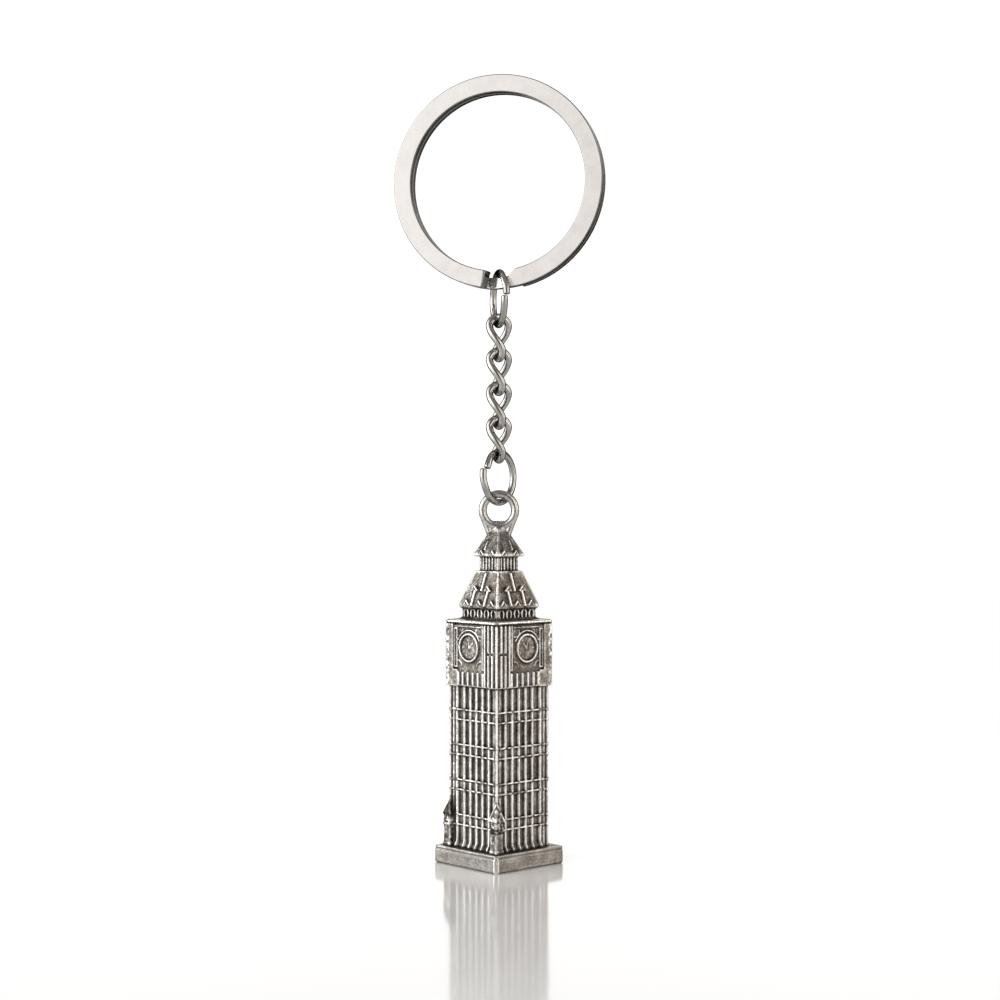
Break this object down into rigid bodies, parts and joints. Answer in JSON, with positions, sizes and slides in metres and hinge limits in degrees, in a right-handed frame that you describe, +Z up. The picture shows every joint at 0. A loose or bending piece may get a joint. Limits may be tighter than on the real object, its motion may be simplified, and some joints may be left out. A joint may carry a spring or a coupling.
{
  "type": "key ring souvenir",
  "caption": "Key ring with a flat split ring, jump rings and a twisted curb chain that carries a cast clock tower figurine.",
  "frame": {"origin": "the top of the split ring's inside, where a hook or peg holds the key ring as it hangs", "axes": "+Z up, along the plumb line from the tower to the split ring; the split ring lies in the XZ plane, with its front layer towards -Y and its cut end left of the bottom (towards -X)"},
  "size_m": [0.03, 0.0174, 0.1105],
  "materials": {
    "polished_nickel": "bright polished nickel plate on flat spring steel",
    "nickel_wire": "bright nickel-plated steel wire",
    "antique_silver": "antique silver plate on a zinc casting, dark in the recesses and worn bright on the edges"
  },
  "bodies": {
    "split_ring": {"split_ring": "polished_nickel"},
    "upper_jump_ring": {"upper_jump_ring": "nickel_wire"},
    "chain_link_1": {"chain_link_1": "nickel_wire"},
    "chain_link_2": {"chain_link_2": "nickel_wire"},
    "chain_link_3": {"chain_link_3": "nickel_wire"},
    "chain_link_4": {"chain_link_4": "nickel_wire"},
    "lower_jump_ring": {"lower_jump_ring": "nickel_wire"},
    "tower": {"tower_casting": "antique_silver"}
  },
  "joints": [
    {"name": "upper_ring_swing", "type": "hinge", "parent": "split_ring", "child": "upper_jump_ring", "pos_m": [0, 0, -0.0267], "axis": [1, 0, 0], "range_deg": [-60, 60]},
    {"name": "chain_swing", "type": "hinge", "parent": "upper_jump_ring", "child": "chain_link_1", "pos_m": [0, 0, -0.0325], "axis": [0.4384, -0.8988, 0], "range_deg": [-60, 60]},
    {"name": "link_2_swing", "type": "hinge", "parent": "chain_link_1", "child": "chain_link_2", "pos_m": [0, 0, -0.03726], "axis": [-0.5736, 0.8192, 0], "range_deg": [-45, 45]},
    {"name": "link_3_swing", "type": "hinge", "parent": "chain_link_2", "child": "chain_link_3", "pos_m": [0, 0, -0.0409], "axis": [0.8572, 0.515, 0], "range_deg": [-45, 45]},
    {"name": "link_4_twist", "type": "hinge", "parent": "chain_link_3", "child": "chain_link_4", "pos_m": [0, 0, -0.04564], "axis": [0, 0, 1], "range_deg": [-15, 15]},
    {"name": "lower_ring_swing", "type": "hinge", "parent": "chain_link_4", "child": "lower_jump_ring", "pos_m": [0, 0, -0.0504], "axis": [0.3746, 0.9272, 0], "range_deg": [-40, 40]},
    {"name": "tower_swing", "type": "hinge", "parent": "lower_jump_ring", "child": "tower", "pos_m": [0, 0, -0.05631], "axis": [0.9833, 0.1822, 0], "range_deg": [-60, 60]}
  ]
}
